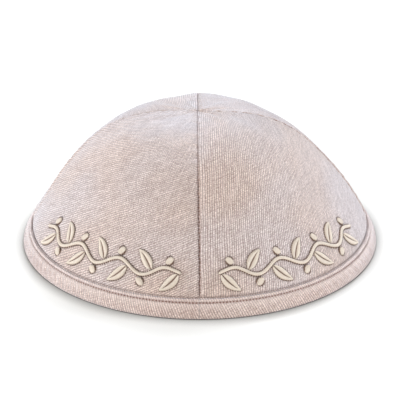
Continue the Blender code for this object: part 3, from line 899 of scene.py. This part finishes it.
def ribbed_cloth_group():
    """Ribbed cloth of slubbed yarn, from the cloth's own place in metres: x across its ribs and y along them.

    Yarn is the tint of each yarn as it changes along its length, Groove the painted shade between
    two ribs and between knots, Patch the slow change of tint over the cloth, and Height the ribs and the knots
    of the yarn.
    """
    group = bpy.data.node_groups.new("ribbed_cloth", "ShaderNodeTree")
    for name, kind, value in (
        ("Place", "NodeSocketVector", (0.0, 0.0, 0.0)),
        ("Rib Pitch", "NodeSocketFloat", 0.0011),
        ("Knot Pitch", "NodeSocketFloat", 0.0010),
        ("Cross Slant", "NodeSocketFloat", 0.0),
        ("Unevenness", "NodeSocketFloat", 1.0),
    ):
        group.interface.new_socket(name, in_out="INPUT", socket_type=kind).default_value = value
    for name in ("Yarn", "Groove", "Patch", "Height"):
        group.interface.new_socket(name, in_out="OUTPUT", socket_type="NodeSocketFloat")
    g = Graph(group)
    inputs = g.node("NodeGroupInput").outputs
    output = g.node("NodeGroupOutput")
    parts = g.node("ShaderNodeSeparateXYZ", {"Vector": inputs["Place"]})
    x, y = parts.outputs["X"], parts.outputs["Y"]
    slow = g.noise(g.vector(g.math("MULTIPLY", x, 90.0), g.math("MULTIPLY", y, 60.0)), 1.0)
    quick = g.noise(g.vector(g.math("MULTIPLY", x, 420.0), g.math("MULTIPLY", y, 260.0)), 1.0)
    wander = g.math("MULTIPLY", g.math("SUBTRACT", slow, 0.5), 0.0012)
    wander = g.math("ADD", wander, g.math("MULTIPLY", g.math("SUBTRACT", quick, 0.5), 0.0004))
    wander = g.math("MULTIPLY", wander, inputs["Unevenness"])
    rib = g.math("DIVIDE", g.math("ADD", x, wander), inputs["Rib Pitch"])
    number = g.math("FLOOR", rib)
    wave = g.math("SINE", g.math("MULTIPLY", g.math("FRACT", rib), math.pi))
    cross = g.math("SUBTRACT", y, g.math("MULTIPLY", x, inputs["Cross Slant"]))
    knot = g.math("DIVIDE", cross, inputs["Knot Pitch"])
    knot = g.math("ADD", knot, g.math("MULTIPLY", quick, 0.5))
    knot = g.math("ABSOLUTE", g.math("SINE", g.math("MULTIPLY", knot, math.pi)))
    streak = g.noise(g.vector(g.math("MULTIPLY", number, 3.7), g.math("MULTIPLY", y, 130.0)), 2.0, 0.6)
    weft = g.noise(g.vector(g.math("MULTIPLY", x, 110.0), g.math("MULTIPLY", cross, 1100.0), 5.0), 2.0, 0.6)
    speck = g.noise(g.vector(g.math("MULTIPLY", x, 1500.0), g.math("MULTIPLY", y, 1300.0), 9.0), 2.0, 0.6)
    yarn = g.math("ADD", g.math("MULTIPLY", streak, 0.24), g.math("MULTIPLY", weft, 0.20))
    yarn = g.math("ADD", yarn, g.math("MULTIPLY", speck, 0.56))
    g.feed(output.inputs["Yarn"], g.span(yarn, 0.38, 0.62))
    groove = g.math("SUBTRACT", 1.0, g.span(wave, 0.15, 0.95))
    groove = g.math("MAXIMUM", groove, g.math("MULTIPLY", g.math("SUBTRACT", 1.0, g.span(knot, 0.0, 0.7)), 0.6))
    g.feed(output.inputs["Groove"], groove)
    patch = g.noise(g.vector(g.math("MULTIPLY", x, 30.0), g.math("MULTIPLY", y, 24.0), 3.0), 1.0)
    g.feed(output.inputs["Patch"], g.span(patch, 0.33, 0.67))
    fibre = g.noise(g.vector(g.math("MULTIPLY", x, 5200.0), g.math("MULTIPLY", y, 3600.0), 2.0), 2.0)
    height = g.math("MULTIPLY", g.math("POWER", wave, 0.7), g.math("ADD", 0.62, g.math("MULTIPLY", knot, 0.38)))
    height = g.math("ADD", height, g.math("MULTIPLY", g.math("SUBTRACT", weft, 0.5), 0.4))
    height = g.math("ADD", height, g.math("MULTIPLY", g.math("SUBTRACT", fibre, 0.5), 0.35))
    g.feed(output.inputs["Height"], height)
    return group


def new_material(name):
    material = bpy.data.materials.new(name)
    material.use_nodes = True
    return material, Graph(material.node_tree), material.node_tree.nodes["Principled BSDF"]


def cloth_material(name, group, dark, light, warm, cool, knot_pitch, cross_slant, rib_pitch=0.0011):
    """Matt ribbed cloth, with painted shade in the rib grooves, seams and stitch holes and around the ornament,
    a painted highlight on raised ridges, and a soft sheen of loose fibre.
    """
    material, g, shader = new_material(name)
    uv = g.node("ShaderNodeUVMap", uv_map="cloth").outputs["UV"]
    weave = g.node("ShaderNodeGroup", node_tree=group)
    pattern = {"Place": uv, "Rib Pitch": rib_pitch, "Knot Pitch": knot_pitch, "Cross Slant": cross_slant}
    for key, value in pattern.items():
        g.feed(weave.inputs[key], value)
    base = g.mix(weave.outputs["Yarn"], colour(dark), colour(light))
    base = g.mix(1.0, base, g.mix(weave.outputs["Patch"], colour(warm), colour(cool)), "MULTIPLY")
    # painted shade in the grooves between ribs and knots
    base = g.mix(g.math("MULTIPLY", weave.outputs["Groove"], 0.74), base, colour(GROOVE_SHADE))
    # painted highlight on the binding's raised ridge and band
    base = g.mix(g.math("MULTIPLY", g.mask("ridge_highlight"), 0.26), base, colour(light))
    # painted shade around the ornament and along the binding's upper edge
    base = g.mix(g.math("MULTIPLY", g.mask("hole_shade"), 0.55), base, colour(THREAD_SHADE))
    # painted shade in the seams and pits, dotted at each stitch
    bead = g.math("SINE", g.math("MULTIPLY", g.mask("stitch_turn"), 2 * math.pi))
    bead = g.span(bead, -0.7, 0.6, 0.42, 1.0)
    base = g.mix(g.math("MULTIPLY", g.mask("seam_shade"), bead), base, colour(SEAM_SHADE_BROWN))
    g.feed(shader.inputs["Base Color"], base)
    g.feed(shader.inputs["Roughness"], g.span(weave.outputs["Yarn"], 0.0, 1.0, 0.94, 0.80))
    bump = g.node("ShaderNodeBump", {"Height": weave.outputs["Height"], "Distance": 0.00032, "Strength": 0.75})
    g.feed(shader.inputs["Normal"], bump.outputs["Normal"])
    shader.inputs["Specular IOR Level"].default_value = 0.18
    shader.inputs["Sheen Weight"].default_value = 0.60
    shader.inputs["Sheen Roughness"].default_value = 0.5
    shader.inputs["Sheen Tint"].default_value = (0.80, 0.88, 1.0, 1.0)
    return material


def thread_material(name, light, dark, roughness, turns):
    """Twisted thread: fine slant ridges round it with painted shade between them, and painted shade where it
    goes down into the cloth.
    """
    material, g, shader = new_material(name)
    uv = g.node("ShaderNodeUVMap", uv_map="cloth").outputs["UV"]
    parts = g.node("ShaderNodeSeparateXYZ", {"Vector": uv})
    along, around = parts.outputs["X"], parts.outputs["Y"]
    twist = g.math("ADD", g.math("MULTIPLY", along, turns), g.math("MULTIPLY", around, 1.0))
    twist = g.math("ABSOLUTE", g.math("SINE", g.math("MULTIPLY", twist, 2 * math.pi)))
    tint = g.span(g.mask("tint"), 0.0, 1.0, 0.0, 0.24)
    base = g.mix(tint, colour(light), colour(tuple(0.72 * c for c in light)))
    base = g.mix(g.math("MULTIPLY", g.span(twist, 0.5, 0.0), 0.22), base, colour(dark))
    base = g.mix(g.math("MULTIPLY", g.mask("end_shade"), 0.85), base, colour(dark))
    g.feed(shader.inputs["Base Color"], base)
    g.feed(shader.inputs["Roughness"], g.span(g.mask("end_shade"), 0.0, 1.0, roughness, 0.8))
    bump = g.node("ShaderNodeBump", {"Height": twist, "Distance": 0.00004, "Strength": 0.8})
    g.feed(shader.inputs["Normal"], bump.outputs["Normal"])
    shader.inputs["Specular IOR Level"].default_value = 0.45
    shader.inputs["Sheen Weight"].default_value = 0.15
    shader.inputs["Sheen Roughness"].default_value = 0.3
    return material


# Studio


def soft_light(name, spot, size, energy, tone):
    """A round lamp that faces the kippah's middle."""
    data = bpy.data.lights.new(name, "AREA")
    data.shape = "DISK"
    data.size = size
    data.energy = energy
    data.color = tone
    light = bpy.data.objects.new(name, data)
    light.location = spot
    aim = np.array(LIGHTS_AIM) - np.array(spot)
    light.rotation_euler = (
        math.atan2(math.hypot(aim[0], aim[1]), -aim[2]),
        0.0,
        math.atan2(aim[1], aim[0]) - math.pi / 2,
    )
    bpy.context.scene.collection.objects.link(light)


def make_world():
    world = bpy.data.worlds.new("studio")
    bpy.context.scene.world = world
    world.use_nodes = True
    g = Graph(world.node_tree)
    background = world.node_tree.nodes["Background"]
    background.inputs["Color"].default_value = colour(WORLD_TONE)
    seen = g.node("ShaderNodeLightPath").outputs["Is Camera Ray"]
    g.feed(background.inputs["Strength"], g.span(seen, 0.0, 1.0, WORLD_LIGHT, WORLD_SEEN))


def make_floor():
    """White floor with a painted contact shadow where something stands close over it, that fades to full white
    far away.
    """
    half = FLOOR_HALF
    mesh = bpy.data.meshes.new("floor")
    corners = [(-half, -half, 0.0), (half, -half, 0.0), (half, half, 0.0), (-half, half, 0.0)]
    mesh.from_pydata(corners, [], [(0, 1, 2, 3)])
    floor = bpy.data.objects.new("floor", mesh)
    bpy.context.scene.collection.objects.link(floor)
    material, g, shader = new_material("floor_white")
    # painted contact shadow from ambient occlusion
    open_sky = g.node("ShaderNodeAmbientOcclusion", {"Distance": CONTACT_REACH}, samples=16).outputs["AO"]
    open_sky = g.math("POWER", open_sky, CONTACT_POWER)
    g.feed(shader.inputs["Base Color"], g.mix(open_sky, colour((0.0, 0.0, 0.0)), colour(FLOOR_WHITE)))
    shader.inputs["Roughness"].default_value = 0.9
    shader.inputs["Specular IOR Level"].default_value = 0.0
    place = g.node("ShaderNodeTexCoord").outputs["Object"]
    away = g.node("ShaderNodeVectorMath", {"Vector": place}, operation="LENGTH").outputs["Value"]
    seen = g.node("ShaderNodeLightPath").outputs["Is Camera Ray"]
    shader.inputs["Emission Color"].default_value = (1.0, 1.0, 1.0, 1.0)
    glow = g.span(away, *FLOOR_FADE, 0.0, FLOOR_GLOW)
    g.feed(shader.inputs["Emission Strength"], g.math("MULTIPLY", seen, glow))
    mesh.materials.append(material)


def make_camera():
    scene = bpy.context.scene
    data = bpy.data.cameras.new("camera")
    data.lens = CAMERA_LENS
    data.sensor_width = CAMERA_SENSOR
    data.clip_start = 0.01
    camera = bpy.data.objects.new("camera", data)
    back = np.array((0.0, -math.cos(CAMERA_ELEVATION), math.sin(CAMERA_ELEVATION)))
    camera.location = np.array(CAMERA_AIM) + CAMERA_DISTANCE * back
    camera.rotation_euler = (math.pi / 2 - CAMERA_ELEVATION, 0.0, 0.0)
    scene.collection.objects.link(camera)
    scene.camera = camera
    scene.view_settings.view_transform = "Standard"


def make_studio():
    make_world()
    for light in LIGHTS:
        soft_light(*light)
    make_floor()
    make_camera()


def make_embroidery(thread):
    for side_name, side in SIDES:
        starts, ends, meets_rib = stem_threads()
        satin(f"satin_stem_{side_name}", side, starts, ends, meets_rib, thread, [f"vine_stem_{side_name}"])
        for kind, threads in (("leaf", leaf_threads), ("berry", berry_threads)):
            sets = [threads(number) for number in range(MOTIFS)]
            starts, ends, meets_rib = (np.concatenate(part) for part in zip(*sets))
            nodes = [f"vine_{kind}_{side_name}_{number + 1}" for number in range(MOTIFS)]
            satin(f"satin_{kind}_{side_name}", side, starts, ends, meets_rib, thread, nodes)


def make_paddings(underlay):
    for side_name, side in SIDES:
        distance = np.linspace(0.0, VINE_LENGTH, 271)
        ends = np.minimum(distance, VINE_LENGTH - distance)
        half = STEM_WIDTH / 2 * smooth_step(ends / STEM_WIDTH + 0.35)
        lines, widths = [beside_stem(distance, 0.0)], [half]
        share = np.linspace(0.0, 1.0, 35)
        turn = np.linspace(-math.pi / 2, math.pi / 2, 17)
        for number in range(MOTIFS):
            lines.append(leaf_middle(number, share)[0])
            widths.append(leaf_half_width(share))
            ahead = np.stack((np.sin(turn), np.zeros_like(turn)), axis=-1)
            lines.append(berry_middle(number) + ahead * BERRY_WIDTH / 2)
            widths.append(BERRY_WIDTH / 2 * np.cos(turn))
        make_padding(f"satin_padding_{side_name}", side, lines, widths, underlay)


def main():
    make_studio()
    group = ribbed_cloth_group()
    linen = cloth_material(
        "linen", group, LINEN_DARK, LINEN_LIGHT, (0.98, 0.91, 0.87), (0.96, 0.96, 1.0), 0.0010, 0.32
    )
    binding_linen = cloth_material(
        "binding_linen", group, BINDING_DARK, BINDING_LIGHT, (0.96, 0.90, 0.88), (1.0, 0.98, 0.97), 0.0009, 0.0
    )
    thread = thread_material("embroidery_thread", THREAD_CREAM, THREAD_SHADE, 0.42, 900.0)
    # dark padding: painted shade for the needle holes round the satin
    underlay = thread_material("underlay_painted_shade", NEEDLE_HOLE_SHADE, NEEDLE_HOLE_SHADE, 0.8, 900.0)
    sewing_thread = thread_material("sewing_thread", (0.66, 0.53, 0.47), SEAM_SHADE_BROWN, 0.6, 1100.0)
    for name, middle, grid, grain in PANELS:
        make_panel(name, middle, grid, grain, linen)
    for name, azimuth in SEAMS:
        make_allowance(name, azimuth, linen)
    make_seam_threads(sewing_thread)
    make_binding(binding_linen)
    make_topstitch(sewing_thread)
    make_paddings(underlay)
    make_embroidery(thread)


main()
